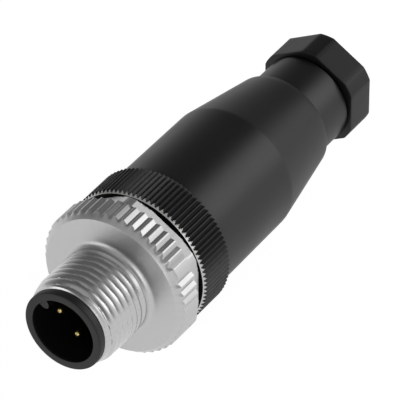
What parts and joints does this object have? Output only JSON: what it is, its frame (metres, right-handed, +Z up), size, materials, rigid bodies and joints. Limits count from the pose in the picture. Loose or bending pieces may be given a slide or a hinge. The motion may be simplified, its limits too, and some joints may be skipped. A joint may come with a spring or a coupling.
{
  "type": "m12 connector",
  "caption": "Straight cable connector with a turning male-threaded coupling ring, a keyed mouth round contact pins, a knurled grip ring, a tapered sleeve and a hexagonal cable gland screw.",
  "frame": {"origin": "on the connector's axis, in the plane of the coupling ring's flat front face, where the coupling thread ends", "axes": "-X is the mating direction and +X runs to the cable end; +Z is up with the connector lying on its side; the coding key lies between +Y and +Z"},
  "size_m": [0.0585, 0.0202, 0.0202],
  "materials": {
    "nickel_plated_zinc": "nickel-plated die-cast zinc, satin, turned",
    "black_insert_plastic": "moulded glass-filled polyamide, fine matt",
    "black_coated_zinc": "black coated, knurled, with a bright turned chamfer",
    "black_sleeve_plastic": "moulded polyamide, soft sheen",
    "black_gland_plastic": "moulded polyamide, soft sheen",
    "gold_plated_brass": "gold flash, polished",
    "nickel_plated_brass": "bright nickel",
    "zinc_plated_steel": "zinc plated",
    "spring_steel": "spring steel, oiled",
    "seal_rubber": "nitrile rubber",
    "cage_plastic": "natural polyamide"
  },
  "bodies": {
    "carrier": {"contact_insert": "black_insert_plastic", "terminal_block": "black_insert_plastic", "grip_ring": "black_coated_zinc", "snap_ring": "spring_steel", "sleeve_seal": "seal_rubber", "contact_pin_1": "gold_plated_brass", "contact_pin_2": "gold_plated_brass", "contact_pin_3": "gold_plated_brass", "contact_pin_4": "gold_plated_brass", "terminal_clamp_1": "nickel_plated_brass", "terminal_clamp_2": "nickel_plated_brass", "terminal_clamp_3": "nickel_plated_brass", "terminal_clamp_4": "nickel_plated_brass", "terminal_screw_1": "zinc_plated_steel", "terminal_screw_2": "zinc_plated_steel", "terminal_screw_3": "zinc_plated_steel", "terminal_screw_4": "zinc_plated_steel"},
    "coupling": {"coupling_ring": "nickel_plated_zinc"},
    "bush": {"cable_seal": "seal_rubber"},
    "housing": {"sleeve": "black_sleeve_plastic"},
    "cage": {"clamping_cage": "cage_plastic"},
    "gland": {"gland_screw": "black_gland_plastic"}
  },
  "joints": [
    {"name": "coupling_spin", "type": "hinge", "parent": "carrier", "child": "coupling", "pos_m": [0, 0, 0], "axis": [1, 0, 0], "continuous": true},
    {"name": "sleeve_travel", "type": "slide", "parent": "carrier", "child": "bush", "axis": [1, 0, 0], "range_m": [0, 0.005]},
    {"name": "sleeve_turn", "type": "hinge", "parent": "bush", "child": "housing", "pos_m": [0.02, 0, 0], "axis": [1, 0, 0], "range_deg": [0, 1800]},
    {"name": "gland_travel", "type": "slide", "parent": "housing", "child": "cage", "axis": [1, 0, 0], "range_m": [0, 0.003]},
    {"name": "gland_turn", "type": "hinge", "parent": "cage", "child": "gland", "pos_m": [0.044, 0, 0], "axis": [1, 0, 0], "range_deg": [0, 1080]}
  ],
  "couplings": [
    {"joint": "sleeve_turn", "follows": "sleeve_travel", "rad_per_m": 6283.2},
    {"joint": "gland_turn", "follows": "gland_travel", "rad_per_m": 6283.2}
  ]
}
